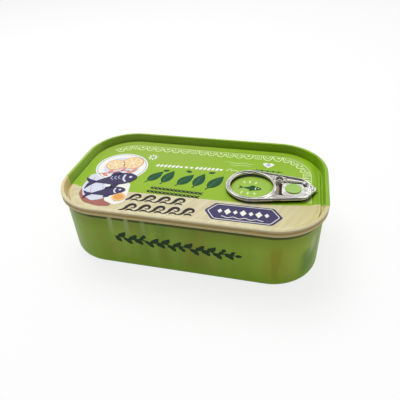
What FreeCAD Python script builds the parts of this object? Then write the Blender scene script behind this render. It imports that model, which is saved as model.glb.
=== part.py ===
"""Shut easy-open fish tin: a drawn body, a seamed lid with its rivet, and a ring pull.

Millimetres. The origin is under the middle of the tin, on the surface it stands on.
+X runs along the tin, towards the nose of the ring pull, and +Z is up.
"""
import FreeCAD, Part
import math
import os

from FreeCAD import Vector

# Overall size, measured over the seam.
LENGTH = 104.4
WIDTH = 59.9
HEIGHT = 28.6
CORNER_RADIUS = 20.0  # of the plan, at the outside of the seam

# Double seam: the rolled rim that joins the lid to the body.
SEAM_HEIGHT = 3.0
SEAM_THICKNESS = 1.3
SEAM_OVERHANG = 1.2  # how far the seam stands out from the body's wall
SEAM_FOOT_RADIUS = 0.3

# Body.
BOTTOM_RADIUS = 2.4  # where the wall turns into the bottom
STANDING_RING_WIDTH = 4.0
BOTTOM_RECESS_DEPTH = 0.8
BOTTOM_RECESS_RADIUS = 0.6

# Lid, as depths below the top of the seam.
SHEET = 0.25
COUNTERSINK_DEPTH = 4.1
LEDGE_DEPTH = 3.2
PANEL_DEPTH = 3.6
WALL_LEAN = 0.45  # how far the chuck wall slopes in on its way down
COUNTERSINK_WIDTH = 0.9
LEDGE_WIDTH = 2.3  # from the countersink to the step down to the panel
STEP_WIDTH = 0.8
BEND_RADIUS = 0.35  # of the sheet's sharp bends, on the side that shows
STEP_RADIUS = 0.6
SCORE_WIDTH = 0.3
SCORE_DEPTH = 0.08
SCORE_INSET = 0.9  # from the countersink
CENTRE_MARGIN = 2.0  # from the foot of the step to the slab that fills the panel's middle

# Rivet, formed out of the lid's panel.
RIVET_Y = -0.9
RIVET_BOSS_RADIUS = 4.0
RIVET_SHANK_RADIUS = 1.8
RIVET_HEAD_RADIUS = 3.2
RIVET_HEAD_HEIGHT = 0.45
RIVET_HEAD_EDGE = 0.2

# Ring pull. Its own axis runs from the middle of the ring through the rivet to the nose.
TAB_TURN = 2.0  # degrees that the tab is turned on its rivet
NOSE_CLEARANCE = 0.1  # between the lid's ledge and the underside of the tab
TAB_RIM_HEIGHT = 1.5  # the curled edge
TAB_RIM_WIDTH = 1.3
TAB_WEB_DROP = 0.45  # from the top of the curled edge to the flat web
TAB_RIM_ROUND = 0.6
RING_REACH = 16.0  # from the rivet to the middle of the ring
RING_RADIUS = 10.3
HOLE_LENGTH = 16.8
HOLE_WIDTH = 16.4
NOSE_POINT = 9.1  # where the nose's two sides would meet, ahead of the rivet
NOSE_INSET = 3.9  # from the outside of the seam to that point
NOSE_SHOULDER = 4.8  # where the flanks would meet the nose's sides
NOSE_SIDE_RADIUS = 2.5
NOSE_ROUND = 1.5
FLANK_TAPER = 10.3  # degrees, each flank to the tab's axis
BRIDGE_WIDTH = 1.1  # metal between the finger hole and the well round the rivet
ISLAND_FRONT = 4.4  # from the rivet to the front of its well
ISLAND_WIDTH = 9.0
ISLAND_THICKNESS = 0.4
ISLAND_CORNER = 2.2
LANCE_WIDTH = 1.0  # the slot round the back of the rivet's island
LANCE_END = 1.0  # how far ahead of the rivet the slot's two arms reach
RIVET_HOLE_CLEARANCE = 0.1  # on the radius
RIVET_HEAD_CLEARANCE = 0.05  # between the tab and the head above it
SHORTEST_RUN = 0.2  # straight stretch left in a nearly round hole

# Modelling.
ARC_MARGIN = 0.01  # keeps two arcs that face each other from meeting in a point
CUT_MARGIN = 1.0  # how far a cutting shape reaches past what it cuts
SAME_HEIGHT = 1e-4
SAME_POINT = 1e-6
UPRIGHT = 0.9  # least upward part of an upright edge's direction

# Heights and insets that follow.
SEAM_FOOT = HEIGHT - SEAM_HEIGHT
SEAM_TOP_RADIUS = SEAM_THICKNESS / 2 - ARC_MARGIN
PANEL_TOP = HEIGHT - PANEL_DEPTH
LEDGE_TOP = HEIGHT - LEDGE_DEPTH
COUNTERSINK_FLOOR = HEIGHT - COUNTERSINK_DEPTH
COUNTERSINK_OUTER = SEAM_THICKNESS + WALL_LEAN
COUNTERSINK_INNER = COUNTERSINK_OUTER + COUNTERSINK_WIDTH
LEDGE_INNER = COUNTERSINK_INNER + LEDGE_WIDTH
PANEL_INSET = LEDGE_INNER + STEP_WIDTH
CENTRE_INSET = PANEL_INSET + CENTRE_MARGIN
RIVET_X = LENGTH / 2 - NOSE_INSET - NOSE_POINT
TAB_BOTTOM = LEDGE_TOP + NOSE_CLEARANCE
ISLAND_TOP = TAB_BOTTOM + ISLAND_THICKNESS
RIVET_HEAD_BOTTOM = ISLAND_TOP + RIVET_HEAD_CLEARANCE
CUTTER_HEIGHT = 3 * TAB_RIM_HEIGHT  # of the shapes that cut through the tab

UP = Vector(0, 0, 1)


def rounded_outline(corners):
    """Closed wire through (point, radius) corners, all in one plane."""
    count = len(corners)
    edges = []
    ends = []
    for index, (corner, radius) in enumerate(corners):
        before = (corners[index - 1][0] - corner).normalize()
        after = (corners[(index + 1) % count][0] - corner).normalize()
        if radius == 0:
            ends.append((corner, corner))
            continue
        half_angle = before.getAngle(after) / 2
        reach = radius / math.tan(half_angle)
        to_middle = (before + after).normalize()
        bulge = corner + to_middle * (radius / math.sin(half_angle) - radius)
        arriving = corner + before * reach
        leaving = corner + after * reach
        edges.append(Part.Arc(arriving, bulge, leaving).toShape())
        ends.append((arriving, leaving))
    for index in range(count):
        leaving = ends[index][1]
        arriving = ends[(index + 1) % count][0]
        if (arriving - leaving).Length > SAME_POINT:
            edges.append(Part.LineSegment(leaving, arriving).toShape())
    return Part.Wire(Part.__sortEdges__(edges))


def swept_round_plan(corners):
    """Solid made by carrying a profile of (inset, height, radius) corners once round the tin's plan."""
    half_x = LENGTH / 2 - CORNER_RADIUS
    half_y = WIDTH / 2 - CORNER_RADIUS
    outline = [(Vector(0, inset, height), radius) for inset, height, radius in corners]
    profile = Part.Face(rounded_outline(outline))
    quarters = []
    for quarter in range(4):
        half_run, offset = (half_x, half_y) if quarter % 2 == 0 else (half_y, half_x)
        start = profile.copy()
        start.translate(Vector(-half_run, -(offset + CORNER_RADIUS), 0))
        straight = start.extrude(Vector(2 * half_run, 0, 0))
        start.translate(Vector(2 * half_run, 0, 0))
        corner = start.revolve(Vector(half_run, -offset, 0), UP, 90)
        for piece in (straight, corner):
            piece.rotate(Vector(0, 0, 0), UP, 90 * quarter)
            quarters.append(piece)
    return quarters[0].fuse(quarters[1:]).removeSplitter()


def plan_slab(inset, bottom, top):
    """Upright slab of the tin's rounded plan, its edge moved in by the inset."""
    length = LENGTH - 2 * inset
    width = WIDTH - 2 * inset
    slab = Part.makeBox(length, width, top - bottom, Vector(-length / 2, -width / 2, bottom))
    upright = [edge for edge in slab.Edges if abs(edge.tangentAt(edge.FirstParameter).z) > UPRIGHT]
    return slab.makeFillet(CORNER_RADIUS - inset, upright)


def edges_at(shape, height):
    """Edges that lie flat at a height."""
    return [edge for edge in shape.Edges
            if max(abs(edge.BoundBox.ZMin - height), abs(edge.BoundBox.ZMax - height)) < SAME_HEIGHT]


def lid_top_line():
    """Corners of the lid's upper face, from the top of the seam in to the flat panel."""
    score = COUNTERSINK_INNER + SCORE_INSET
    return [
        (SEAM_THICKNESS, HEIGHT, SEAM_TOP_RADIUS),
        (COUNTERSINK_OUTER, COUNTERSINK_FLOOR, BEND_RADIUS),
        (COUNTERSINK_INNER, COUNTERSINK_FLOOR, BEND_RADIUS),
        (COUNTERSINK_INNER, LEDGE_TOP, BEND_RADIUS),
        (score - SCORE_WIDTH / 2, LEDGE_TOP, 0),
        (score, LEDGE_TOP - SCORE_DEPTH, 0),
        (score + SCORE_WIDTH / 2, LEDGE_TOP, 0),
        (LEDGE_INNER, LEDGE_TOP, STEP_RADIUS),
        (PANEL_INSET, PANEL_TOP, STEP_RADIUS),
        (CENTRE_INSET, PANEL_TOP, 0),
    ]


def lid_under_line():
    """Corners of the lid's lower face, from the flat panel out to the foot of the seam."""
    wall_slope = WALL_LEAN / COUNTERSINK_DEPTH
    wall_back = SEAM_THICKNESS - SHEET
    floor_under = COUNTERSINK_FLOOR - SHEET
    foot_inset = max(SEAM_OVERHANG, wall_back + wall_slope * SEAM_HEIGHT)
    step_shift = SHEET / 4  # keeps the sheet from thinning on the sloping step
    return [
        (CENTRE_INSET, PANEL_TOP - SHEET, 0),
        (PANEL_INSET - step_shift, PANEL_TOP - SHEET, STEP_RADIUS),
        (LEDGE_INNER - step_shift, LEDGE_TOP - SHEET, STEP_RADIUS),
        (COUNTERSINK_INNER + SHEET, LEDGE_TOP - SHEET, 0),
        (COUNTERSINK_INNER + SHEET, floor_under, BEND_RADIUS),
        (wall_back + wall_slope * (COUNTERSINK_DEPTH + SHEET), floor_under, BEND_RADIUS),
        (foot_inset, SEAM_FOOT, 0),
    ]


def make_lid():
    """Seam, chuck wall, countersink, scored ledge and panel in one sheet, with the rivet on it."""
    seam_outside = [
        (0, SEAM_FOOT, SEAM_FOOT_RADIUS),
        (0, HEIGHT, SEAM_TOP_RADIUS),
    ]
    edge = swept_round_plan(seam_outside + lid_top_line() + lid_under_line())
    panel = plan_slab(CENTRE_INSET, PANEL_TOP - SHEET, PANEL_TOP)
    return edge.fuse([panel, make_rivet()]).removeSplitter()


def make_rivet():
    """Low boss, shank and rounded head, standing on the panel."""
    foot = Vector(RIVET_X, RIVET_Y, PANEL_TOP - SHEET / 2)
    boss = Part.makeCylinder(RIVET_BOSS_RADIUS, TAB_BOTTOM - foot.z, foot)
    boss = boss.makeFillet(BEND_RADIUS, edges_at(boss, TAB_BOTTOM))
    shank = Part.makeCylinder(RIVET_SHANK_RADIUS, RIVET_HEAD_BOTTOM - foot.z, foot)
    head_foot = Vector(RIVET_X, RIVET_Y, RIVET_HEAD_BOTTOM)
    head = Part.makeCylinder(RIVET_HEAD_RADIUS, RIVET_HEAD_HEIGHT, head_foot)
    head = head.makeFillet(RIVET_HEAD_EDGE, edges_at(head, RIVET_HEAD_BOTTOM + RIVET_HEAD_HEIGHT))
    return boss.fuse([shank, head]).removeSplitter()


def make_body():
    """Drawn body, solid up to the underside of the lid, with a shallow recess under it."""
    body = plan_slab(SEAM_OVERHANG, 0, SEAM_FOOT)
    body = body.makeFillet(BOTTOM_RADIUS, edges_at(body, 0))
    recess_inset = SEAM_OVERHANG + BOTTOM_RADIUS + STANDING_RING_WIDTH
    recess = plan_slab(recess_inset, 0, BOTTOM_RECESS_DEPTH)
    recess = recess.makeFillet(BOTTOM_RECESS_RADIUS, edges_at(recess, BOTTOM_RECESS_DEPTH))
    body = body.cut(recess)
    above = HEIGHT + CUT_MARGIN
    underside = lid_under_line()
    foot_inset = underside[-1][0]
    lid_space = swept_round_plan([(foot_inset, above, 0), (CENTRE_INSET, above, 0)] + underside)
    middle = plan_slab(CENTRE_INSET, PANEL_TOP - SHEET, above)
    return body.cut([lid_space, middle]).removeSplitter()


def tab_outline():
    """Closed wire of the ring pull's plan, with the rivet at its origin and the nose along +X."""
    taper = math.radians(FLANK_TAPER)
    corners = []
    for x, radius in ((-RING_REACH - RING_RADIUS, RING_RADIUS), (NOSE_SHOULDER, NOSE_SIDE_RADIUS)):
        y = RING_RADIUS / math.cos(taper) - (x + RING_REACH) * math.tan(taper)
        corners.append((Vector(x, y, 0), radius))
    tip = (Vector(NOSE_POINT, 0, 0), NOSE_ROUND)
    mirrored = [(Vector(corner.x, -corner.y, 0), radius) for corner, radius in reversed(corners)]
    return rounded_outline(corners + [tip] + mirrored)


def rounded_block(back, front, width, radius, bottom, height):
    """Upright block with rounded corners, from back to front and centred on the tab's axis."""
    block = Part.makeBox(front - back, width, height, Vector(back, -width / 2, bottom))
    upright = [edge for edge in block.Edges if abs(edge.tangentAt(edge.FirstParameter).z) > UPRIGHT]
    return block.makeFillet(radius, upright)


def ring_block(grow_length, grow_width, bottom, height):
    """Round-ended block in the shape of the finger hole, larger all round by the given margins."""
    radius = HOLE_WIDTH / 2 + grow_width
    run = max(HOLE_LENGTH / 2 + grow_length - radius, SHORTEST_RUN)
    back = -RING_REACH - run
    front = -RING_REACH + run
    edges = [
        Part.Arc(Vector(back, radius, 0), Vector(back - radius, 0, 0), Vector(back, -radius, 0)),
        Part.LineSegment(Vector(back, -radius, 0), Vector(front, -radius, 0)),
        Part.Arc(Vector(front, -radius, 0), Vector(front + radius, 0, 0), Vector(front, radius, 0)),
        Part.LineSegment(Vector(front, radius, 0), Vector(back, radius, 0)),
    ]
    block = Part.Face(Part.Wire([edge.toShape() for edge in edges])).extrude(UP * height)
    block.translate(UP * bottom)
    return block


def web_pocket():
    """The flat web's recess: inside the curled edge, and clear of the ring round the finger hole."""
    inner = Part.Wire(tab_outline()).makeOffset2D(-TAB_RIM_WIDTH)
    pocket = Part.Face(inner).extrude(UP * TAB_RIM_HEIGHT)
    pocket.translate(UP * (TAB_RIM_HEIGHT - TAB_WEB_DROP))
    ring = ring_block(BRIDGE_WIDTH, 2 * TAB_RIM_WIDTH, 0, CUTTER_HEIGHT)
    behind = Part.makeBox(RING_RADIUS, 2 * RING_RADIUS, CUTTER_HEIGHT,
                          Vector(-RING_REACH - RING_RADIUS, -RING_RADIUS, 0))
    return pocket.cut([ring, behind])


def make_tab():
    """Ring pull: curled edge, flat web, finger hole, and a lanced island held by the rivet."""
    below = -TAB_RIM_HEIGHT
    plate = Part.Face(tab_outline()).extrude(UP * TAB_RIM_HEIGHT)
    plate = plate.cut(ring_block(0, 0, below, CUTTER_HEIGHT)).Solids[0]
    rims = edges_at(plate, 0) + edges_at(plate, TAB_RIM_HEIGHT)
    tab = plate.makeFillet(TAB_RIM_ROUND, rims).Solids[0]

    back = -RING_REACH + HOLE_LENGTH / 2 + BRIDGE_WIDTH
    well = rounded_block(back, ISLAND_FRONT, ISLAND_WIDTH, ISLAND_CORNER, ISLAND_THICKNESS, CUTTER_HEIGHT)
    slot = rounded_block(back, ISLAND_FRONT, ISLAND_WIDTH, ISLAND_CORNER, below, CUTTER_HEIGHT)
    island = rounded_block(back + LANCE_WIDTH, 2 * ISLAND_FRONT, ISLAND_WIDTH - 2 * LANCE_WIDTH,
                           ISLAND_CORNER - LANCE_WIDTH, below, CUTTER_HEIGHT)
    ahead = Part.makeBox(2 * ISLAND_FRONT, 2 * ISLAND_WIDTH, CUTTER_HEIGHT,
                         Vector(LANCE_END, -ISLAND_WIDTH, below))
    lance = slot.cut([island, ahead])
    hole = Part.makeCylinder(RIVET_SHANK_RADIUS + RIVET_HOLE_CLEARANCE, CUTTER_HEIGHT, Vector(0, 0, below))
    for tool in (web_pocket(), well, lance, hole):
        tab = tab.cut(tool)
    tab.rotate(Vector(0, 0, 0), UP, TAB_TURN)
    tab.translate(Vector(RIVET_X, RIVET_Y, TAB_BOTTOM))
    return tab


def export(shape, name):
    """Write one closed solid as a STEP file."""
    if len(shape.Solids) != 1 or not shape.isValid():
        raise RuntimeError(name + " is not one valid solid")
    shape.Solids[0].exportStep("parts/" + name + ".step")


os.makedirs("parts", exist_ok=True)
export(make_body(), "can_body")
export(make_lid(), "lid")
export(make_tab(), "ring_tab")
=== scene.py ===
"""Looks of the shut fish tin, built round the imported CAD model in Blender 4.5, in the CAD frame.

The tin's sizes are in millimetres, as in part.py, and are scaled to metres where a mesh is made. The camera,
the floor and the lamp are placed in metres.
"""
import math
import random

import bmesh
import bpy
import numpy as np
from mathutils import Matrix, Vector


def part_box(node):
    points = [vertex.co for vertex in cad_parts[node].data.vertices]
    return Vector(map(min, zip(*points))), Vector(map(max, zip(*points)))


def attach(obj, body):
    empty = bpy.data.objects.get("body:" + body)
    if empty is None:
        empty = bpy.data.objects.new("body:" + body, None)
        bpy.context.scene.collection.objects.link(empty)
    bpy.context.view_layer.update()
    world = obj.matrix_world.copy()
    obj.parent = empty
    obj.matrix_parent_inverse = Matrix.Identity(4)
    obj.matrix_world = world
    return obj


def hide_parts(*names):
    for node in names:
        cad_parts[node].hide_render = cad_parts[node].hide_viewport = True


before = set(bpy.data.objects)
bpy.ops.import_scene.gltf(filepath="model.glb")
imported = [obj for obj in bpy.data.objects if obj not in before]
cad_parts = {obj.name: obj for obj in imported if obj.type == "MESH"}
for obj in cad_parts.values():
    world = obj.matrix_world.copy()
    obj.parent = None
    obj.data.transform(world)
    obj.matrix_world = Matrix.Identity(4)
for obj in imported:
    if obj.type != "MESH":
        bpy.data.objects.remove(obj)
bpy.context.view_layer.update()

MM = 0.001
scene = bpy.context.scene

# Sizes that repeat part.py. Heights are above the floor, and insets go in from the outside of the seam.
HALF_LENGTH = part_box("lid")[1].x / MM
HALF_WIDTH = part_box("lid")[1].y / MM
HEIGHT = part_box("lid")[1].z / MM
CORNER_RADIUS = 20.0
SEAM_FOOT = HEIGHT - 3.0
WALL_INSET = 1.2
BOTTOM_RADIUS = 2.4
STANDING_RING_WIDTH = 4.0
BOTTOM_RECESS_DEPTH = 0.8
SHEET = 0.25
COUNTERSINK_OUTER = 1.75
COUNTERSINK_INNER = 2.65
COUNTERSINK_FLOOR = HEIGHT - 4.1
BEND_RADIUS = 0.35
LEDGE_TOP = HEIGHT - 3.2
LEDGE_INNER = 4.95
PANEL_TOP = HEIGHT - 3.6
PANEL_INSET = 5.75
STEP_RADIUS = 0.6
SCORE_INSET = 3.55
SCORE_WIDTH = 0.3
SCORE_DEPTH = 0.08
RIVET_X = 39.2
RIVET_Y = -0.9
RIVET_BOSS_RADIUS = 4.0
RIVET_SHANK_RADIUS = 1.8
RIVET_HEAD_RADIUS = 3.2
TAB_BOTTOM = LEDGE_TOP + 0.1
RIVET_HEAD_BOTTOM = TAB_BOTTOM + 0.45
RIVET_HEAD_TOP = RIVET_HEAD_BOTTOM + 0.45
TAB_TURN = math.radians(2.0)  # of the ring pull on its rivet
RING_REACH = 16.0  # from the rivet back to the middle of the ring
RING_RADIUS = 10.3
FLANK_TAPER = math.radians(10.3)  # of each flank to the ring pull's own axis
HOLE_RADIUS = 8.2
HOLE_RUN = 0.2  # half of the straight stretch in the finger hole's sides
RIM_HEIGHT = 1.5  # of the curled edge

# Sizes of the looks alone.
TAB_NOSE = 9.0  # from the rivet to the corner that the nose's rounded tip is cut from
TAB_SHOULDER = 4.6  # from the rivet to the corner between flank and nose
NOSE_LEAN = math.radians(33.2)  # of the nose's sides, to a line across the ring pull
MARK_START = -25.8  # first of the draw marks on the front wall
MARK_PITCH = 6.4

# Measures that follow.
FRONT = -(HALF_WIDTH - WALL_INSET)  # the front wall
SIDE_RUN = HALF_LENGTH - CORNER_RADIUS  # half of the straight stretch along the front
END_RUN = HALF_WIDTH - CORNER_RADIUS
CORNER_ARC = math.pi / 2 * CORNER_RADIUS
PLAN_RUN = 4 * SIDE_RUN + 4 * END_RUN + 4 * CORNER_ARC  # once round the plan, at the outside of the seam


# ---- camera, floor and light
def make_camera():
    """Camera at the photograph's viewing angle, from a fit to the tin's outline."""
    place = Vector((0.0353624, -0.1261352, 0.113795))
    forward = Vector((-0.2068, 0.7702, -0.6034)).normalized()
    right = Vector((0.9726, 0.2289, -0.0411)).normalized()
    up = right.cross(forward).normalized()
    right = forward.cross(up).normalized()
    data = bpy.data.cameras.new("camera")
    data.sensor_width = 36
    data.lens = 34.66
    data.clip_start = 0.005
    camera = bpy.data.objects.new("camera", data)
    turn = Matrix((right, up, -forward)).transposed().to_4x4()
    camera.matrix_world = Matrix.Translation(place) @ turn
    scene.collection.objects.link(camera)
    scene.camera = camera


def linear(color):
    """Scene-linear colour from 0-255 sRGB."""
    channels = []
    for value in color:
        value /= 255
        channels.append(value / 12.92 if value <= 0.04045 else ((value + 0.055) / 1.055) ** 2.4)
    return (*channels, 1.0)


class Value:
    """Number or colour that varies over a surface. Arithmetic on it adds nodes to its graph."""

    def __init__(self, graph, socket):
        self.graph, self.socket = graph, socket

    def __add__(self, other):
        return self.graph.math("ADD", self, other)

    def __sub__(self, other):
        return self.graph.math("SUBTRACT", self, other)

    def __mul__(self, other):
        return self.graph.math("MULTIPLY", self, other)

    def __abs__(self):
        return self.graph.math("ABSOLUTE", self)

    def most(self, other):
        return self.graph.math("MAXIMUM", self, other)

    def least(self, other):
        return self.graph.math("MINIMUM", self, other)

    def ramp(self, low, high, start=0.0, end=1.0):
        """Smooth change from start to end while this goes from low to high."""
        item = self.graph.node("MapRange", interpolation_type="SMOOTHSTEP")
        return self.graph.fill(item, (self, low, high, start, end))

    def fall(self, low, high, start=1.0):
        """Smooth change from start down to 0 while this goes from low to high."""
        return self.ramp(low, high, start, 0.0)

    def band(self, low, full, fade, high):
        """1 from full to fade, and 0 below low and above high."""
        return self.ramp(low, full) * self.fall(fade, high)

    def past(self, limit):
        """How far this is past a limit, and 0 short of it."""
        return (self - limit).most(0.0)

    def coats(self, *layers):
        """This colour with layers of (share, 0-255 sRGB) over it, one after the other."""
        color = self
        for share, paint in layers:
            color = self.graph.mix(share, color, linear(paint))
        return color

    def bump(self, distance, strength):
        """Normal from this as a height of so many millimetres."""
        item = self.graph.node("Bump")
        for name, value in (("Strength", strength), ("Distance", distance * MM), ("Height", self)):
            self.graph.put(item.inputs[name], value)
        return Value(self.graph, item.outputs[0])


def length(x, y):
    return x.graph.math("SQRT", x * x + y * y)


class Graph:
    """The nodes of a material or the world."""

    def __init__(self, owner):
        owner.use_nodes = True
        self.owner, self.nodes, self.links = owner, owner.node_tree.nodes, owner.node_tree.links

    def put(self, socket, value):
        """Link a socket to a Value or another node's output, or give it a plain number or colour."""
        value = getattr(value, "socket", value)
        if hasattr(value, "links"):
            self.links.new(value, socket)
        else:
            socket.default_value = value

    def node(self, kind, **settings):
        item = self.nodes.new("ShaderNode" + kind)
        for key, value in settings.items():
            setattr(item, key, value)
        return item

    def fill(self, item, values):
        """Give a node its first inputs, and return its first output."""
        for socket, value in zip(item.inputs, values):
            self.put(socket, value)
        return Value(self, item.outputs[0])

    def math(self, operation, *values):
        return self.fill(self.node("Math", operation=operation), values)

    def parts(self, vector):
        """x, y and z of a vector."""
        item = self.node("SeparateXYZ")
        self.put(item.inputs[0], vector)
        return [Value(self, socket) for socket in item.outputs]

    def mix(self, share, a, b, kind="RGBA"):
        """Colour a with a share of colour b, or the same with two numbers."""
        item = self.node("Mix", data_type=kind)
        first = 6 if kind == "RGBA" else 2
        for socket, value in zip((item.inputs[0], *item.inputs[first:first + 2]), (share, a, b)):
            self.put(socket, value)
        return Value(self, item.outputs[2 if kind == "RGBA" else 0])

    def shades(self, share, a, b):
        """Mix of two 0-255 sRGB colours."""
        return self.mix(share, linear(a), linear(b))

    def place(self, kind="Object"):
        return self.node("TexCoord").outputs[kind]

    def position(self):
        """x, y and z of the point that is shaded, in millimetres."""
        scaled = self.node("VectorMath", operation="SCALE")
        self.put(scaled.inputs[0], self.place())
        scaled.inputs["Scale"].default_value = 1 / MM
        return self.parts(scaled.outputs[0])

    def noise(self, scale, detail, squeeze=(1, 1, 1), turn=0.0):
        """Noise with grains of 1/scale metres, squeezed along each axis, the axes turned in plan."""
        mapping = self.node("Mapping", vector_type="TEXTURE")
        self.put(mapping.inputs["Vector"], self.place())
        mapping.inputs["Rotation"].default_value = (0, 0, turn)
        mapping.inputs["Scale"].default_value = [1 / share for share in squeeze]
        item = self.node("TexNoise")
        self.put(item.inputs["Vector"], mapping.outputs[0])
        item.inputs["Scale"].default_value = scale
        item.inputs["Detail"].default_value = detail
        return Value(self, item.outputs["Fac"])

    def surface(self, color, roughness, normal=None, specular=0.5, metallic=0.0):
        """Finish the material's shader, and return the material."""
        shader = self.nodes["Principled BSDF"]
        for name, value in (("Base Color", color), ("Roughness", roughness), ("Specular IOR Level", specular),
                            ("Metallic", metallic), ("Normal", normal)):
            if value is not None:
                self.put(shader.inputs[name], value)
        return self.owner


def make_world():
    """White to the camera, soft grey light on the tin, and a painted studio for gloss and metal to mirror."""
    world = bpy.data.worlds.new("studio")
    scene.world = world
    graph = Graph(world)
    path = graph.node("LightPath").outputs
    back, up = graph.parts(graph.place("Generated"))[1:]
    # The studio is darker in front, where the camera stands, and bright behind the tin.
    sky = back.ramp(-0.75, 0.5, 0.20, 0.66)
    # The mirrored one has a bright band of light high behind the tin, and a soft one low behind it.
    mirrored = back.ramp(-0.6, 0.4, 0.18, 0.62) * up.ramp(0.80, 0.97, 1.0, 0.45)
    mirrored += up.band(0.66, 0.76, 0.88, 0.97) * back.ramp(-0.1, 0.3) * 1.9
    mirrored += up.fall(0.24, 0.44) * back.ramp(0.0, 0.5) * 1.3
    light = graph.mix(path["Is Glossy Ray"], sky, mirrored, "FLOAT")
    background = graph.nodes["Background"]
    background.inputs["Color"].default_value = (1, 1, 1, 1)
    graph.put(background.inputs["Strength"], graph.mix(path["Is Camera Ray"], light, 1.0, "FLOAT"))


def make_floor():
    """Pale floor that takes the tin's shadow. Its white glow is half as strong in reflections."""
    bpy.ops.mesh.primitive_plane_add(size=4.0, location=(0, 0, -0.05 * MM))
    floor = bpy.context.object
    floor.name = "floor"
    paint = bpy.data.materials.new("floor")
    graph = Graph(paint)
    path = graph.node("LightPath").outputs
    diffuse = graph.node("BsdfDiffuse")
    color = graph.mix(path["Is Camera Ray"], (0.6, 0.6, 0.6, 1), (0.97, 0.97, 0.97, 1))
    graph.put(diffuse.inputs["Color"], color)
    seen = graph.math("MAXIMUM", path["Is Camera Ray"], path["Is Transmission Ray"])
    white = seen * 0.8 + graph.math("MULTIPLY", path["Is Glossy Ray"], 0.4)
    glow = graph.node("Emission")
    mixed = graph.fill(graph.node("MixShader"), (white, diffuse.outputs[0], glow.outputs[0]))
    graph.put(graph.nodes["Material Output"].inputs["Surface"], mixed)
    graph.nodes.remove(graph.nodes["Principled BSDF"])
    floor.data.materials.append(paint)


def make_lamp():
    """Soft lamp above the tin, behind it and to its left. Reflections leave it out."""
    data = bpy.data.lights.new("key", "AREA")
    data.shape = "RECTANGLE"
    data.size, data.size_y = 0.45, 0.35
    data.energy = 2.75
    lamp = bpy.data.objects.new("key", data)
    lamp.location = (-0.16, 0.20, 0.58)
    aim = Vector((0, 0, 0.02)) - lamp.location
    lamp.rotation_euler = aim.to_track_quat("-Z", "Y").to_euler()
    lamp.visible_glossy = False
    scene.collection.objects.link(lamp)


# ---- materials
def print_edge(x, y, z):
    """0 on the cream side of the line between the two printed fields, 1 on the green side."""
    # The line bends back at both ends, and runs towards the front as it climbs the right-hand wall.
    right, left = x.past(20), (x * -1).past(40)
    climb = z.past(LEDGE_TOP) * x.ramp(46, 48)
    line = x * 0.0162 + right * right * 0.0037 + left * left * 0.014 - climb * 1.6 - 12.07
    return (y - line).ramp(-0.06, 0.06)


def seam_side(x, y):
    """1 on the outer side of the seam, 0 further in than about half a millimetre."""
    reach = length(abs(x).past(SIDE_RUN), abs(y).past(END_RUN))
    return reach.ramp(CORNER_RADIUS - 0.55, CORNER_RADIUS - 0.3)


def tab_axes(x, y):
    """Places along and across the ring pull's own axis, from the rivet."""
    x, y = x - RIVET_X, y - RIVET_Y
    cos, sin = math.cos(TAB_TURN), math.sin(TAB_TURN)
    return x * cos + y * sin, y * cos - x * sin


def depth_under_tab(x, y):
    """How far inside the ring pull's outline a point of the lid lies."""
    along, across = tab_axes(x, y)
    ahead, behind = (along + RING_REACH).past(0), (along * -1).past(RING_REACH)
    in_flanks = ahead * -math.tan(FLANK_TAPER) + RING_RADIUS - length(behind, across)
    in_nose = (along * -1 + TAB_NOSE) * math.cos(NOSE_LEAN) - abs(across) * math.sin(NOSE_LEAN)
    return in_flanks.least(in_nose)


def green_print(graph, x, y):
    """Green of the lid's far field."""
    from_rivet = length(x - RIVET_X, y - RIVET_Y)
    in_ring = abs(from_rivet - RING_REACH).fall(6, 9, 0.6) * x.fall(30, 33) * abs(y + 1.5).fall(7, 9)
    return graph.shades(graph.noise(45, 3), (136, 176, 26), (150, 187, 44)).coats(
        (y.ramp(4, 18, 0.0, 0.8) * x.fall(-10, 15), (150, 180, 66)),
        (in_ring, (164, 198, 88)),
        (x.ramp(40, 45, 0.0, 0.85), (140, 182, 2)),
        (x.ramp(45.5, 47.5, 0.0, 0.8), (120, 164, 0)),
        (from_rivet.fall(3.1, 3.5, 0.75), (160, 200, 108)),
        # The end walls are paler.
        (x.fall(-50, -48), (160, 194, 76)),
        (x.ramp(48, 50), (136, 178, 34)))


def cream_print(graph, x):
    """Cream of the lid's near field, with a fine slanting grain."""
    grain = graph.noise(110, 4, squeeze=(1, 6, 1), turn=math.radians(62)).ramp(0.36, 0.66)
    return graph.shades(grain, (207, 197, 157), (218, 210, 175)).coats(
        (x.ramp(25, 50, 0.0, 0.75), (204, 194, 136)),
        (x.fall(-50.5, -46, 0.8), (222, 200, 134)))


def lid_material():
    graph = Graph(bpy.data.materials.new("lid_print"))
    x, y, z = graph.position()
    # On the seam's outer side the print's colour holds painted light and shade: the cream turns a paler gold,
    # with painted shade in its waist, and the green is painted darker, most of all in its waist.
    outside = seam_side(x, y)
    waist = z.band(HEIGHT - 1.7, HEIGHT - 1.45, HEIGHT - 0.8, HEIGHT - 0.45)
    below_waist = z.fall(HEIGHT - 1.7, HEIGHT - 1.45)
    gold = graph.shades(below_waist, (232, 222, 182), (236, 216, 154)).coats((waist, (206, 178, 108)))
    cream = graph.mix(outside, cream_print(graph, x), gold)
    green = green_print(graph, x, y).coats((outside * (waist * 0.3 + 0.15), (60, 100, 10)))
    # Painted shadow darkens the print under the ring pull's edges.
    tab_shadow = depth_under_tab(x, y).band(-0.1, 0.4, 1.9, 2.3) * 0.9
    color = graph.mix(print_edge(x, y, z), cream, green).coats((tab_shadow, (26, 34, 8)))
    height = graph.noise(2400, 3) * 0.03 + graph.noise(70, 2, squeeze=(1, 1.6, 1))
    roughness = graph.noise(600, 4).ramp(0.3, 0.7, 0.32, 0.42)
    return graph.surface(color, roughness, height.bump(0.16, 0.6), specular=0.3)
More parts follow.
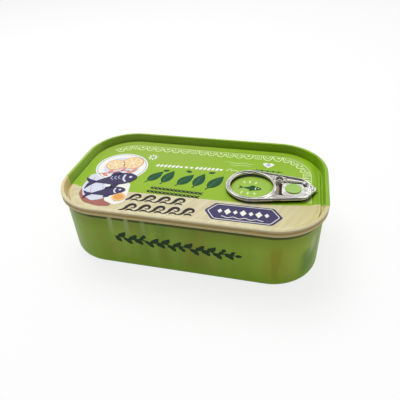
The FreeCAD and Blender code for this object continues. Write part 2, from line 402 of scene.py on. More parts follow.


# Painted reflections round the front wall's right-hand corner: x from and to, z from and to, share and
# colour.
CORNER_REFLECTIONS = (
    (29.0, 44.0, 0, 22, 0.40, (184, 186, 44)),  # yellow
    (34.0, 37.8, 0, 22, 0.50, (158, 154, 14)),  # gold streak in the yellow
    (37.6, 44.6, 2, 19, 0.45, (184, 206, 70)),  # bright green
    (43.6, 50.6, 0, 18, 0.70, (92, 150, 44)),  # dark green
    (46.4, 50.4, 11, 24, 0.62, (206, 226, 166)),  # pale
    (48.6, 54.0, 0, 25, 0.60, (84, 136, 104)),  # blue green
)


def corner_reflection_coats(graph, x, y, z):
    """Coats for the painted corner reflections, whose sides wander as they climb."""
    wandering = x + graph.noise(130, 2, squeeze=(1, 1, 0.5)) * 5 - 2.5
    coats = []
    for left, right, low, high, share, paint in CORNER_REFLECTIONS:
        soft = 0.36 * (right - left)
        patch = wandering.band(left, left + soft, right - soft, right) * z.band(low, low + 5, high - 5, high)
        coats.append((patch * y.fall(-20, -15, share), paint))
    return coats


def ridge_highlights(x, y, z):
    """Painted highlights near the left end of the front wall, on its widest ridges."""
    ridges = x.graph.math("COSINE", (x - MARK_START) * (2 * math.pi / MARK_PITCH)).ramp(0.35, 1.0)
    return ridges * x.band(-29, -27, -24, -2) * z.ramp(15, 21) * y.fall(FRONT + 0.75, FRONT + 1.75, 0.75)


def body_material():
    graph = Graph(bpy.data.materials.new("body_print"))
    x, y, z = graph.position()
    streaks = graph.noise(110, 3, squeeze=(1, 1, 0.05))
    # Warm blotches, most of them left of the middle.
    blotches = graph.noise(190, 3, squeeze=(1, 1, 0.6)).ramp(0.47, 0.66, 0.0, 0.34) * x.ramp(8, 30, 1.0, 0.4)
    color = graph.shades(streaks.ramp(0.3, 0.7), (134, 174, 34), (170, 204, 74)).coats(
        (graph.noise(34, 2, squeeze=(1, 1, 0.35)).ramp(0.45, 0.75), (156, 170, 44)),
        (x.ramp(0, 42, 0.0, 0.7), (178, 214, 56)),
        (x.fall(-34, -20, 0.5), (166, 198, 46)),
        (blotches, (176, 166, 60)),
        # Painted reflections round the right-hand corner.
        *corner_reflection_coats(graph, x, y, z),
        # Painted light: the wall is brighter and greener towards the bottom.
        (z.fall(0.5, 9, 0.75), (158, 206, 10)),
        # Painted shade: the wall is darker towards the seam, with a painted shadow in the corner under it.
        (z.ramp(SEAM_FOOT - 9, SEAM_FOOT - 2, 0.0, 0.32), (106, 118, 26)),
        (z.ramp(SEAM_FOOT - 2.2, SEAM_FOOT - 1.5, 0.0, 0.95), (74, 86, 8)),
        # Painted highlights on the wall's widest ridges.
        (ridge_highlights(x, y, z), (186, 206, 134)))
    fine = graph.noise(1500, 3, squeeze=(1, 1, 0.08))
    roughness = streaks.ramp(0.3, 0.7, 0.30, 0.42)
    return graph.surface(color, roughness, fine.bump(0.02, 0.5), specular=0.35, metallic=0.15)


def metal_material():
    graph = Graph(bpy.data.materials.new("tab_metal"))
    x, y, z = graph.position()
    along = tab_axes(x, y)[0]
    height = z - TAB_BOTTOM
    facing_up = graph.parts(graph.node("NewGeometry").outputs["Normal"])[2]
    clouds = graph.noise(380, 3)
    color = graph.shades(clouds, (192, 190, 182), (218, 216, 208)).coats(
        # Painted shade makes the slope down to the slot dull and brown, and a painted highlight makes the
        # plate round the rivet bright.
        (along.band(-8.0, -7.2, -4.8, -4.5) * height.fall(0.8, 1.02), (158, 144, 126)),
        (along.band(-4.6, -4.2, 3.6, 5.0) * height.fall(0.76, 0.86), (250, 249, 240)),
        # The crimped nose is bright, with dark mottling.
        (along.ramp(3.6, 5.6, 0.0, 0.7), (236, 235, 229)),
        (along.ramp(3.2, 5.0) * graph.noise(900, 2).ramp(0.50, 0.62, 0.0, 0.4), (124, 121, 122)),
        # Painted shade darkens the slot and the grooves, and metal that faces down.
        (height.fall(0.26, 0.60).most(facing_up.fall(-0.35, 0.05)), (56, 48, 44)))
    relief = graph.noise(750, 2, squeeze=(1, 6.7, 1), turn=TAB_TURN) * 0.004 + clouds
    return graph.surface(color, clouds.ramp(0.3, 0.7, 0.17, 0.27), relief.bump(0.03, 0.4), metallic=1.0)


def ink_material(name, color):
    """Printed ink: its colour, slightly uneven, and the lacquer's gloss over it."""
    graph = Graph(bpy.data.materials.new("ink_" + name))
    specks = graph.noise(1800, 3)
    dark, light = ([min(channel * share, 0.95) for channel in linear(color)[:3]] + [1.0]
                   for share in (0.9, 1.1))
    return graph.surface(graph.mix(specks, dark, light), specks.ramp(0.3, 0.7, 0.31, 0.41), specular=0.2)


# ---- mesh helpers
def make_piece(name, points, faces, materials, replaces=None, indices=None, sharp=40):
    """Closed mesh from millimetre points; it rides on the tin and takes the given materials."""
    mesh = bpy.data.meshes.new(name)
    mesh.from_pydata([(x * MM, y * MM, z * MM) for x, y, z in points], [], faces)
    for item in materials:
        mesh.materials.append(item)
    if indices:
        mesh.polygons.foreach_set("material_index", indices)
    work = bmesh.new()
    work.from_mesh(mesh)
    bmesh.ops.recalc_face_normals(work, faces=work.faces)
    work.to_mesh(mesh)
    work.free()
    mesh.shade_smooth()
    mesh.set_sharp_from_angle(angle=math.radians(sharp))
    piece = bpy.data.objects.new(name, mesh)
    scene.collection.objects.link(piece)
    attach(piece, "root")
    if replaces:
        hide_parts(replaces)


def turned(px, py, x, y, degrees):
    """Point (px, py) turned about the origin and then moved to (x, y)."""
    cos, sin = math.cos(math.radians(degrees)), math.sin(math.radians(degrees))
    return (x + px * cos - py * sin, y + px * sin + py * cos)


def rounded(corners, steps, closed=True):
    """Points along straight runs and corner arcs, from (x, y, radius) corners."""
    points = []
    count = len(corners)
    for index, (x, y, radius) in enumerate(corners):
        here = Vector((x, y))
        if radius == 0 or (not closed and index in (0, count - 1)):
            points.append(here)
            continue
        before = (Vector(corners[index - 1][:2]) - here).normalized()
        after = (Vector(corners[(index + 1) % count][:2]) - here).normalized()
        half = before.angle(after) / 2
        middle = here + (before + after).normalized() * (radius / math.sin(half))
        start = here + before * (radius / math.tan(half)) - middle
        sweep = math.copysign(180 - 2 * math.degrees(half), -before.cross(after))
        for step in range(steps + 1):
            points.append(Vector(turned(start.x, start.y, middle.x, middle.y, sweep * step / steps)))
    return points


def resample(points, step):
    """Evenly spaced points along a closed line."""
    line = np.array([*points, points[0]])
    walked = np.append(0, np.cumsum(np.hypot(*np.diff(line, axis=0).T)))
    count = round(walked[-1] / step)
    places = walked[-1] * np.arange(count) / count
    return np.stack([np.interp(places, walked, column) for column in line.T], axis=1)


def smooth_line(points, steps=6, closed=False):
    """Catmull-Rom curve through points."""
    knots = np.array(points, float)
    before, after = (knots[-1], knots[:2]) if closed else (2 * knots[0] - knots[1], 2 * knots[-1] - knots[-2])
    knots = np.vstack((before, knots, after))
    made = []
    for a, b, c, d in zip(knots, knots[1:], knots[2:], knots[3:]):
        for t in np.arange(steps) / steps:
            made.append(0.5 * (2 * b + (c - a) * t + (2 * a - 5 * b + 4 * c - d) * t ** 2
                               + (3 * b - a - 3 * c + d) * t ** 3))
    return made if closed else made + [knots[-2]]


def plan_point(run, inset):
    """Point on the tin's rounded plan, a run round from the middle of the front."""
    left = (run + SIDE_RUN) % PLAN_RUN
    for quarter in range(4):
        reach, offset = (SIDE_RUN, END_RUN) if quarter % 2 == 0 else (END_RUN, SIDE_RUN)
        if left <= 2 * reach + CORNER_ARC:
            break
        left -= 2 * reach + CORNER_ARC
    # Each quarter is a straight stretch and the corner after it, worked out as if it were the front.
    turn = math.degrees(max(left - 2 * reach, 0.0) / CORNER_RADIUS)
    x, y = turned(0, inset - CORNER_RADIUS, min(left, 2 * reach) - reach, -offset, turn)
    return turned(x, y, 0, 0, 90 * quarter)


def clamped(value):
    return min(max(value, 0.0), 1.0)


def ripple(run, height):
    """How far out the drawn wall lies, 0 at most: ridges left by the draw, fading towards the bottom."""
    turn = 2 * math.pi * run / PLAN_RUN
    swell = sum(share * math.sin(waves * turn + phase)
                for share, waves, phase in ((0.5, 27, 0.6), (0.3, 43, 2.1), (0.2, 64, 4.0)))
    fade = clamped((height - 3) / 10) * clamped((SEAM_FOOT - height) / 1.5)
    # The draw marks stand out as wider ridges near the left end of the front.
    across = (run + PLAN_RUN / 2) % PLAN_RUN - PLAN_RUN / 2
    ridges = (1 + math.cos(2 * math.pi * (across - MARK_START) / MARK_PITCH)) / 2
    marks = math.exp(-((across + 22) / 8) ** 2) * ridges
    return -0.05 * fade * (1 - swell) - 0.08 * fade * (1 - marks) * math.exp(-((across + 22) / 10) ** 2)


def ring_faces(stations, rows, closed=False):
    """Faces between the rows of points at neighbouring stations, the last station joined to the first."""
    faces = []
    for station in range(stations):
        here, there = station * rows, (station + 1) % stations * rows
        for row in range(rows if closed else rows - 1):
            above = (row + 1) % rows
            faces.append((here + row, there + row, there + above, here + above))
    return faces


def sweep_plan(profile, swell=None):
    """Points and faces of (inset, height) points carried once round the plan, with both ends capped."""
    step = 0.9
    stations, rows = int(PLAN_RUN / step), len(profile)
    points = []
    for station in range(stations):
        run = PLAN_RUN * station / stations
        for inset, height in profile:
            out = swell(run, height) if swell else 0.0
            points.append((*plan_point(run, inset - out), height))
    caps = [[station * rows + row for station in range(stations)] for row in (0, rows - 1)]
    return points, ring_faces(stations, rows) + caps


# ---- the tin itself
def make_body(paint):
    ring_inner = WALL_INSET + BOTTOM_RADIUS + STANDING_RING_WIDTH
    top = SEAM_FOOT - 0.02
    hidden_top = PANEL_TOP - 0.85  # under the lid
    line = rounded([
        (ring_inner + 3.0, BOTTOM_RECESS_DEPTH, 0), (ring_inner + 0.8, BOTTOM_RECESS_DEPTH, 0.6),
        (ring_inner, 0.0, 0.25), (WALL_INSET, 0.0, BOTTOM_RADIUS), (WALL_INSET, top, 0),
        (WALL_INSET + 0.15, top, 0), (WALL_INSET + 0.3, hidden_top, 0), (6.0, hidden_top, 0)],
        steps=7, closed=False)
    # The upright stretches are cut into short ones, so that the wall can ripple.
    profile = []
    for a, b in zip(line, line[1:]):
        parts = max(int((b - a).length / 0.7), 1) if abs(a.x - b.x) < 0.01 else 1
        profile += [a.lerp(b, part / parts) for part in range(parts)]
    profile.append(line[-1])
    points, faces = sweep_plan(profile, ripple)
    make_piece("tin_body", points, faces, [paint], "can_body")


def make_lid(paint):
    flat_inset = 8.5  # where the panel's flat middle starts
    panel_foot, ledge_foot = PANEL_TOP - SHEET, LEDGE_TOP - SHEET
    countersink_foot = COUNTERSINK_FLOOR - SHEET
    underside = [
        (flat_inset, panel_foot, 0), (PANEL_INSET - 0.05, panel_foot, 0.5),
        (LEDGE_INNER - 0.05, ledge_foot, 0.5), (COUNTERSINK_INNER + SHEET, ledge_foot, 0),
        (COUNTERSINK_INNER + SHEET, countersink_foot, 0.2),
        (COUNTERSINK_OUTER - 0.22, countersink_foot, 0.2), (WALL_INSET, SEAM_FOOT, 0)]
    # The seam's foot, its band, its waist and its rounded lip, as depths below the top.
    seam = [(inset, HEIGHT - depth, radius) for inset, depth, radius in (
        (0.6, 3.0, 0.3), (0.0, 2.65, 0.35), (0.0, 1.65, 0.3), (0.22, 1.2, 0.25), (0.05, 0.8, 0.2),
        (0.0, 0.45, 0.2), (0.2, 0.1, 0.3), (0.5, 0.0, 0.3), (1.4, 0.0, 0.4))]
    score = [(SCORE_INSET + side * SCORE_WIDTH / 2, LEDGE_TOP - SCORE_DEPTH * (side == 0), 0)
             for side in (-1, 0, 1)]
    upper = [
        (COUNTERSINK_OUTER, COUNTERSINK_FLOOR, BEND_RADIUS),
        (COUNTERSINK_INNER, COUNTERSINK_FLOOR, BEND_RADIUS),
        (COUNTERSINK_INNER, LEDGE_TOP, BEND_RADIUS), *score, (LEDGE_INNER, LEDGE_TOP, STEP_RADIUS),
        (PANEL_INSET, PANEL_TOP, STEP_RADIUS), (flat_inset, PANEL_TOP, 0)]
    points, faces = sweep_plan(rounded(underside + seam + upper, steps=6, closed=False))
    make_piece("tin_lid", points, faces, [paint], "lid", sharp=50)


def make_rivet(paint):
    foot = PANEL_TOP - 0.2
    profile = rounded([
        (0.0, foot, 0), (RIVET_BOSS_RADIUS, foot, 0), (RIVET_BOSS_RADIUS, TAB_BOTTOM, 0.3),
        (RIVET_SHANK_RADIUS, TAB_BOTTOM, 0), (RIVET_SHANK_RADIUS, RIVET_HEAD_BOTTOM, 0),
        (RIVET_HEAD_RADIUS, RIVET_HEAD_BOTTOM, 0.12), (RIVET_HEAD_RADIUS, RIVET_HEAD_TOP - 0.02, 0.2),
        (2.5, RIVET_HEAD_TOP, 0.8), (2.1, RIVET_HEAD_TOP - 0.1, 0.8), (0.0, RIVET_HEAD_TOP - 0.12, 0)],
        steps=6, closed=False)
    stations, rows = 72, len(profile) - 2
    points = [(*turned(radius, 0, RIVET_X, RIVET_Y, 360 * station / stations), height)
              for station in range(stations) for radius, height in profile[1:-1]]
    faces = ring_faces(stations, rows)
    # Each end is a fan of triangles round a point on the axis.
    for row, end in ((0, 0), (rows - 1, -1)):
        faces += [(len(points), station * rows + row, (station + 1) % stations * rows + row)
                  for station in range(stations)]
        points.append((RIVET_X, RIVET_Y, profile[end][1]))
    make_piece("lid_rivet", points, faces, [paint])


# ---- the ring pull, in places along and across it
RIM_MIDDLE = RIM_HEIGHT / 2  # height at which the curled edges are widest
WEB_HEIGHT = 1.02
ISLAND_HEIGHT = 0.55  # of the plate round the rivet
SLOT_HEIGHT = 0.13
CURL = (-5.5, 4.9)  # middle of the small curl

# Dents of the crimped nose: middle along and across, width and depth. A negative depth is a bump.
NOSE_DENTS = (
    (5.0, 2.6, 0.9, 0.75), (6.6, 1.2, 0.6, 0.45), (5.9, -1.6, 0.7, 0.30), (7.4, -0.5, 0.5, 0.80),
    (4.2, 3.3, 0.6, 0.35), (6.3, -0.4, 0.5, -0.20), (4.9, -2.6, 0.6, 0.20), (5.0, 0.8, 0.7, 0.16))


def line_distance(xs, ys, line):
    """Distance from each point to a closed line of points."""
    best = np.full(xs.shape, np.inf)
    for (ax, ay), (bx, by) in zip(line, np.roll(line, -1, 0)):
        dx, dy = bx - ax, by - ay
        share = np.clip(((xs - ax) * dx + (ys - ay) * dy) / (dx * dx + dy * dy), 0, 1)
        best = np.minimum(best, np.hypot(xs - ax - share * dx, ys - ay - share * dy))
    return best


def ease(value, low, high):
    """0 below low, 1 above high, and smooth between them."""
    t = np.clip((value - low) / (high - low), 0, 1)
    return t * t * (3 - 2 * t)


def bell(distance, width):
    """1 at no distance, falling away on both sides."""
    return np.exp(-(distance / width) ** 2)


def roll(distance, width, height):
    """Half-round curl along an edge."""
    share = np.clip(distance / width, 0, 1) * 2 - 1
    return height * np.sqrt(np.maximum(1 - share * share, 0))


def block_distance(xs, ys, back, front, half_width, radius):
    """Signed distance to a rounded block, negative inside."""
    dx = np.abs(xs - (back + front) / 2) - (front - back) / 2 + radius
    dy = np.abs(ys) - half_width + radius
    return np.hypot(np.maximum(dx, 0), np.maximum(dy, 0)) + np.minimum(np.maximum(dx, dy), 0) - radius


def curled_edges(out, hole):
    """Height of the two curled edges, and of the trough where they meet, which is blended."""
    outer = np.where(out < RIM_MIDDLE, RIM_MIDDLE + roll(out, RIM_HEIGHT, RIM_MIDDLE),
                     RIM_HEIGHT - 0.62 * ease(out, RIM_MIDDLE, RIM_HEIGHT))
    inner = np.where(hole < 0.6, RIM_MIDDLE + roll(hole, 1.2, 0.62), 1.37 - 0.45 * ease(hole, 0.6, 1.5))
    sharpness = 14.0
    blended = np.log(np.exp(sharpness * outer) + np.exp(sharpness * inner)) / sharpness
    # Within 0.7 mm of an edge, its half-round is the limit.
    edge = np.minimum(out, hole)
    return np.minimum(blended, RIM_MIDDLE + roll(edge, RIM_HEIGHT, RIM_MIDDLE) + 10 * (edge >= 0.7))


def lanced_well(x, y, height, from_curl):
    """Well round the rivet: a long slope down from the bridge, then the slot, then the island."""
    well = block_distance(x, y + 0.4, -7.6, 4.6, 4.9, 1.8)
    island = block_distance(x, y + 0.5, -4.4, 14.0, 4.1, 1.8)
    side = ease(-well, -0.05, 0.3)
    depth = side * ease(x, -7.9, -4.4) ** 1.6 * ease(from_curl, 2.0, 2.4)
    height = height * (1 - depth) + depth * SLOT_HEIGHT
    inside = ease(-island, -0.02, 0.14) * (1 - ease(x, 4.4, 6.2)) * (well < 0.2)
    height = np.maximum(height, inside * (ISLAND_HEIGHT + 0.04 + 0.025 * (y + 0.5)))
    # The slot's two arms end where the island joins the nose, the far arm further on.
    joined = ease(x, np.where(y > 0, 3.0, 0.0), np.where(y > 0, 3.8, 0.8)) * side
    return np.maximum(height, joined * ISLAND_HEIGHT)


def tab_top(x, y, out, hole):
    """Height of the ring pull's upper face, where out and hole are the distances to its two edges."""
    height = curled_edges(out, hole)
    web = ease(x, -8.5, -6.5)
    height = height * (1 - web) + np.maximum(height, WEB_HEIGHT) * web
    # Grooves inside the curled flanks: wide on the far side, thin on the near side.
    far = ease(x, -3.4, -2.2) * (1 - ease(x, 3.0, 4.6)) * (y > 0)
    near = ease(x, -9.0, -6.0) * (1 - ease(x, 4.0, 6.0)) * (y < 0)
    height -= 0.92 * far * bell(out - 1.75, 0.28) + 0.22 * near * bell(out - 1.55, 0.2)
    # Small curl at the well's far back corner: a spiral ridge, a groove and a knob.
    dx, dy = x - CURL[0], y - CURL[1]
    from_curl = np.hypot(dx, dy)
    height = lanced_well(x, y, height, from_curl)
    ridge = 1.85 + 0.2 * np.arctan2(dy, dx) / math.pi
    groove_and_knob = 0.4 * bell(from_curl, 0.45) - 0.62 * bell(from_curl - 1.1, 0.34)
    curl = (from_curl < 3.2) * (0.5 * bell(from_curl - ridge, 0.36) + groove_and_knob)
    height = np.minimum(height + curl, RIM_HEIGHT)
    # Dents and fine creases of the crimped nose.
    clear_of_edge = ease(out, 0.0, 0.5)
    for along, across, width, depth in NOSE_DENTS:
        height -= depth * bell(np.hypot(x - along, y - across), width) * clear_of_edge
    fan = np.arctan2(y, 9.6 - x)
    height += 0.10 * ease(x, 5.0, 7.5) * ease(out, 0.0, 0.4) * np.sin(15 * fan + 1)
    # A shallow channel round the ring's left half, and a knock in its far rim.
    height -= 0.22 * ease(-x, 14.0, 19.0) * bell(out - 1.15, 0.24)
    knock = bell(np.hypot(x + 17.6, y - 8.7), 0.949) - 0.4 * bell(np.hypot(x + 15.6, y - 9.0), 0.894)
    return np.maximum(height - 0.55 * knock * clear_of_edge, 0.10)


def tab_outline():
    """Points round the ring pull: the ring, two flanks that narrow away from it, and the nose."""
    corners = []
    for x, radius in ((-RING_REACH - RING_RADIUS, RING_RADIUS), (TAB_SHOULDER, 5.0)):
        flank = RING_RADIUS / math.cos(FLANK_TAPER) - (x + RING_REACH) * math.tan(FLANK_TAPER)
        corners.append((x, flank, radius))
    near_side = [(x, -y, radius) for x, y, radius in reversed(corners)]
    return resample(rounded(corners + [(TAB_NOSE, 0.0, 0.9)] + near_side, steps=40), 0.2)


def hole_outline(outline):
    """Point of the finger hole's edge that faces each point of the outline."""
    middle = (-RING_REACH, 0)
    rays = outline - middle
    rays /= np.hypot(*rays.T)[:, None]
    leads = abs(rays[:, :1]) * HOLE_RUN
    return middle + rays * (leads + np.sqrt(leads ** 2 + HOLE_RADIUS ** 2 - HOLE_RUN ** 2))


def make_ring_pull(metal):
    outline = tab_outline()
    edge_of_hole = hole_outline(outline)
    # Rows of points from the outline in to the hole, closer together near both edges.
    last = 170
    shares = np.linspace(0, 1, last + 1)
    shares = (shares - 0.11 * np.sin(2 * math.pi * shares))[None, :, None]
    grid = outline[:, None] * (1 - shares) + edge_of_hole[:, None] * shares
    along, across = grid[..., 0], grid[..., 1]
    out, hole = line_distance(along, across, outline), line_distance(along, across, edge_of_hole)
    out[:, 0] = hole[:, -1] = 0
    top = tab_top(along, across, out, hole)
    top[:, 0] = top[:, -1] = RIM_MIDDLE
    under = RIM_MIDDLE - roll(np.minimum(np.minimum(out, hole), 0.6), 1.2, RIM_MIDDLE)
    under = np.maximum(np.minimum(under, top - 0.08), 0.0)
    # Under the face the section goes back to the outline in fewer rows, as it is nearly flat.
    back = [last - 3, last - 7, last - 12, *range(last - 20, 19, -10), 12, 7, 3]
    columns = [*range(last + 1), *back]
    along, across = along[:, columns], across[:, columns]
    cos, sin = math.cos(TAB_TURN), math.sin(TAB_TURN)
    points = np.dstack((RIVET_X + along * cos - across * sin, RIVET_Y + along * sin + across * cos,
                        TAB_BOTTOM + np.hstack((top, under[:, back])))).reshape(-1, 3)
    faces = ring_faces(len(outline), len(columns), closed=True)
    make_piece("ring_pull", points, faces, [metal], "ring_tab", sharp=179)


# ---- print
LAYER = 0.02  # that each layer of ink stands above the one below
FAR_INSET = 6.2  # of the lace's straight edge

INKS = {
    "lace": (214, 234, 170), "white": (240, 242, 232), "dark_green": (16, 76, 42),
    "mid_green": (52, 110, 54), "black": (38, 34, 36), "navy": (60, 52, 88), "label": (66, 60, 98),
    "cool_white": (214, 219, 232), "grey_blue": (168, 176, 204), "peach": (240, 200, 140),
    "orange": (226, 164, 92), "cream": (246, 232, 200), "pink": (228, 148, 132),
    "rose_brown": (164, 104, 92), "wall_green": (34, 72, 28)}


# The surfaces that are printed: the place of a point (u, v) that stands out from one by so much.
def on_lid(u, v, out):
    return (u, v, PANEL_TOP + out)


def on_front(u, v, out):
    return (u, FRONT - ripple(u, v) - out - 0.03, v)


def oval(x, y, a, b, count):
    return [turned(a * math.cos(angle), b * math.sin(angle), x, y, 0)
            for angle in np.linspace(0, 2 * math.pi, count, endpoint=False)]


def pen(count, wide, thin):
    """Widths of a pen stroke: thin at both ends and wide between them."""
    return [thin + (wide - thin) * math.sin(math.pi * (i + 0.5) / count) ** 0.8 for i in range(count)]


class Print:
    """Closed, very thin shapes of ink gathered into one piece."""

    def __init__(self, name, slot, surface=on_lid):
        self.name, self.slot, self.surface = name, slot, surface
        self.points, self.faces, self.indices, self.inks = [], [], [], []

    def add(self, outline, faces, ink, layer):
        """Faces between the points of an outline on top of the ink and the same points just below it."""
        start = len(self.points)
        if ink not in self.inks:
            self.inks.append(ink)
        for out in (LAYER * (layer + 1), -LAYER):
            self.points += [self.surface(u, v, out) for u, v in outline]
        for face in faces:
            self.faces.append([start + corner for corner in face])
            self.indices.append(self.inks.index(ink))

    def shape(self, outline, ink, layer):
        """Filled outline."""
        count = len(outline)
        faces = [list(range(count)), list(range(2 * count - 1, count - 1, -1))]
        faces += [(i, (i + 1) % count, count + (i + 1) % count, count + i) for i in range(count)]
        self.add(outline, faces, ink, layer)

    def stroke(self, points, widths, ink, layer=0, closed=False):
        """Line of one width, or of a width at each point."""
        line = np.array(points, float)
        count = len(line)
        ahead, behind = np.roll(line, -1, 0), np.roll(line, 1, 0)
        if not closed:
            ahead[-1], behind[0] = line[-1], line[0]
        along = (ahead - behind).T
        left = np.array((-along[1], along[0])) / np.hypot(*along) * np.maximum(widths, 0.05) / 2
        outline = [*(line + left.T), *(line - left.T)]
        # First points of the stroke's four edges, in order round it.
        edges = (0, count, 3 * count, 2 * count)
        faces = []
        for here in range(count if closed else count - 1):
            there = (here + 1) % count
            faces += [(a + here, a + there, b + there, b + here)
                      for a, b in zip(edges, edges[1:] + edges[:1])]
        if not closed:
            faces += [edges, [edge + count - 1 for edge in reversed(edges)]]
        self.add(outline, faces, ink, layer)

    def ellipse(self, x, y, a, b, ink, layer=0, count=14):
        self.shape(oval(x, y, a, b, count), ink, layer)

    def dot(self, x, y, radius, ink, layer=0, count=14):
        self.ellipse(x, y, radius, radius, ink, layer, count)

    def leaf(self, x, y, length, width, turn, ink, layer=0, vein=None):
        """Pointed leaf from its stalk end at (x, y)."""
        side = [(length * t, width / 2 * math.sin(math.pi * t ** 0.8) ** 0.9) for t in np.linspace(0, 1, 13)]
        outline = side[:-1] + [(px, -py) for px, py in reversed(side)][:-1]
        self.shape([turned(px, py, x, y, turn) for px, py in outline], ink, layer)
        if vein:
            line = [turned(length * t, 0.05 * width * math.sin(3 * t), x, y, turn)
                    for t in np.linspace(0.08, 0.86, 8)]
            self.stroke(line, width * np.linspace(0.10, 0.04, 8), vein, layer + 1)

    def finish(self):
        inks = [bpy.data.materials["ink_" + ink] for ink in self.inks]
        make_piece(self.name, self.points, self.faces, inks, indices=self.indices)


def lace():
    """Traditional scalloped lace edging along the far side and the right end of the green field."""
    art = Print("lace_border", "lid_print")
    right_end = SIDE_RUN + CORNER_ARC + END_RUN  # run at the middle of the right end
    start, stop = right_end - 7.6, PLAN_RUN / 2 + SIDE_RUN + 19.0

    def at(run, depth):
        return plan_point(run, FAR_INSET + depth)

    def arch(middle, half, foot, depth, angles):
        """Points of an arch, at angles round it from one foot to the other."""
        return [at(middle - half * math.cos(angle), foot + depth * math.sin(angle)) for angle in angles]

    art.stroke([at(run, 0) for run in np.arange(start, stop, 0.8)], 0.36, "lace")
    # The scallops are evenly spaced along the line itself, which is shorter than the plan at the corner.
    middle, number = start + 2.0, 0
    while middle < stop - 2.0:
        stretch = math.dist(at(middle - 0.5, 0), at(middle + 0.5, 0))
        half = 2.02 / stretch
        hatched = number in (0, 1) or number % 7 == 4
        if hatched:
            for offset in (-1.35, -0.45, 0.45, 1.35):
                art.stroke([at(middle + offset / stretch, depth) for depth in (0.1, 1.6, 3.1)], 0.30, "lace")
            art.stroke([at(middle + offset / stretch, 3.2) for offset in (-1.7, 0, 1.7)], 0.28, "lace")
        else:
            art.stroke(arch(middle, half, 0.0, 3.7, np.linspace(0.04, math.pi - 0.04, 15)), 0.55, "lace")
            if number % 3 == 0:
                art.ellipse(*at(middle, 1.25), 0.75, 0.6, "lace")
            else:
                art.stroke(arch(middle, 0.5 * half, 0.5, 1.5, np.linspace(0, math.pi, 11)), 0.42, "lace")
        middle += (2.1 if hatched else 2.06) * half
        number += 1
    art.finish()


def big_leaves(art):
    """Five bold leaves in the middle of the green field, and three small ones above them."""
    for x, y, length, width, turn in ((-19.6, -3.9, 9.2, 4.4, 60), (-13.2, -4.1, 9.8, 4.6, 74),
                                      (-6.6, -4.4, 9.6, 4.8, 58), (0.4, -4.4, 9.9, 4.6, 76),
                                      (6.0, -4.7, 10.6, 4.9, 62)):
        art.leaf(x, y, length, width, turn, "dark_green", 0, "mid_green")
        stalk = [turned(-t, 0.25 * t * t, x, y, turn) for t in (0, 0.6, 1.2)]
        art.stroke(stalk, (0.7, 0.6, 0.5), "dark_green")
    for x, y, turn in ((-15.2, 4.4, 20), (-2.8, 5.3, 160), (4.3, 6.0, 15)):
        art.leaf(x, y, 3.0, 1.7, turn, "dark_green")


def drops_and_dots(art):
    """White row above the leaves, and two pale flicks after it."""
    left = -19.4
    spots = random.Random(4)
    x = left
    while x < 9.4:
        y = 8.35 + (x - left) * 0.036
        if spots.random() < 0.6:
            art.leaf(x, y - 1.1, 2.6, 1.25, 68, "white")
            x += 1.75
        else:
            art.dot(x + 0.4, y, 0.75, "white")
            x += 2.3
    for flick in (((11.3, 9.0), (12.2, 10.3), (13.4, 10.9)), ((13.0, 9.1), (14.2, 9.9), (16.4, 9.5))):
        art.stroke(smooth_line(flick), 0.5, "lace")


def spark_waves_heart(art):
    for turn in range(12, 372, 45):
        art.leaf(*turned(0.75, 0, -23.3, 14.6, turn), 1.75, 0.75, turn, "white")
    for level, left, right in ((15.9, 9.0, 22.5), (14.2, 11.5, 21.0)):
        wave = [(x, level + 0.35 * math.sin((x - 9) * 0.9)) for x in np.linspace(left, right, 26)]
        art.stroke(wave, pen(26, 0.34, 0.10), "lace")
    for size, ink, layer in ((1.0, "white", 0), (0.42, "grey_blue", 1)):
        heart = []
        for angle in np.linspace(0, 2 * math.pi, 36, endpoint=False):
            rise = sum(share * math.cos(waves * angle) for waves, share in enumerate((13, -5, -2, -1), 1))
            heart.append((28.2 + 2.35 * size * math.sin(angle) ** 3, 16.3 + 0.145 * size * rise))
        art.shape(heart, ink, layer)
    # Dotted line under the heart.
    for step in range(10):
        art.dot(23.8 + step * 1.12, 11.7 - 0.02 * step, 0.36 if step % 2 else 0.58, "dark_green", count=12)


def dotted_bands(art):
    """Two bands along the edge of the green field: large and small dots by turns, like peppercorns."""
    for left, foot in ((-16.0, -8.2), (-16.8, -10.7)):
        for step in range(13):
            x = 1.66 * step
            level = foot - 0.03 * x
            art.ellipse(left + x, level, 0.62, 0.72, "black", 1)
            for side in (-1, 1):
                art.dot(left + x + 0.83, level + 0.62 * side, 0.34, "black", 1, count=10)


def leaf_row():
    """The leaves and small shapes of the green field."""
    art = Print("leaf_row", "lid_print")
    big_leaves(art)
    drops_and_dots(art)
    spark_waves_heart(art)
    # Fish and rays inside the ring pull.
    fish(art, 22.6, -1.75, 9.0, 2.9, -2, "dark_green", "lace", 0)
    for x, y, turn in ((20.3, 1.2, 115), (22.2, 1.6, 95), (24.2, 1.3, 70),
                       (20.0, -4.2, 250), (22.2, -4.5, 268), (24.4, -4.3, 292)):
        art.leaf(x, y, 1.9, 0.85, turn, "lace")
    dotted_bands(art)
    art.finish()


# Outlines of a plain fish that points along +u, as shares of its length and height.
FISH_BODY = (
    (-0.30, 0.04), (-0.10, 0.26), (0.08, 0.44), (0.26, 0.50), (0.42, 0.34), (0.5, 0.04), (0.43, -0.22),
    (0.26, -0.42), (0.06, -0.42), (-0.12, -0.24), (-0.30, -0.05))
FISH_TAIL = (
    (-0.29, 0.05), (-0.40, 0.24), (-0.50, 0.48), (-0.47, 0.18), (-0.43, 0.0), (-0.47, -0.2),
    (-0.50, -0.5), (-0.40, -0.24), (-0.29, -0.05))
FISH_FINS = (((-0.02, 0.34), (0.02, 0.62), (0.14, 0.66), (0.24, 0.46)),
             ((0.00, -0.38), (-0.02, -0.62), (0.10, -0.60), (0.16, -0.40)))
FISH_GILL = ((0.27, 0.34), (0.23, 0.0), (0.27, -0.28))


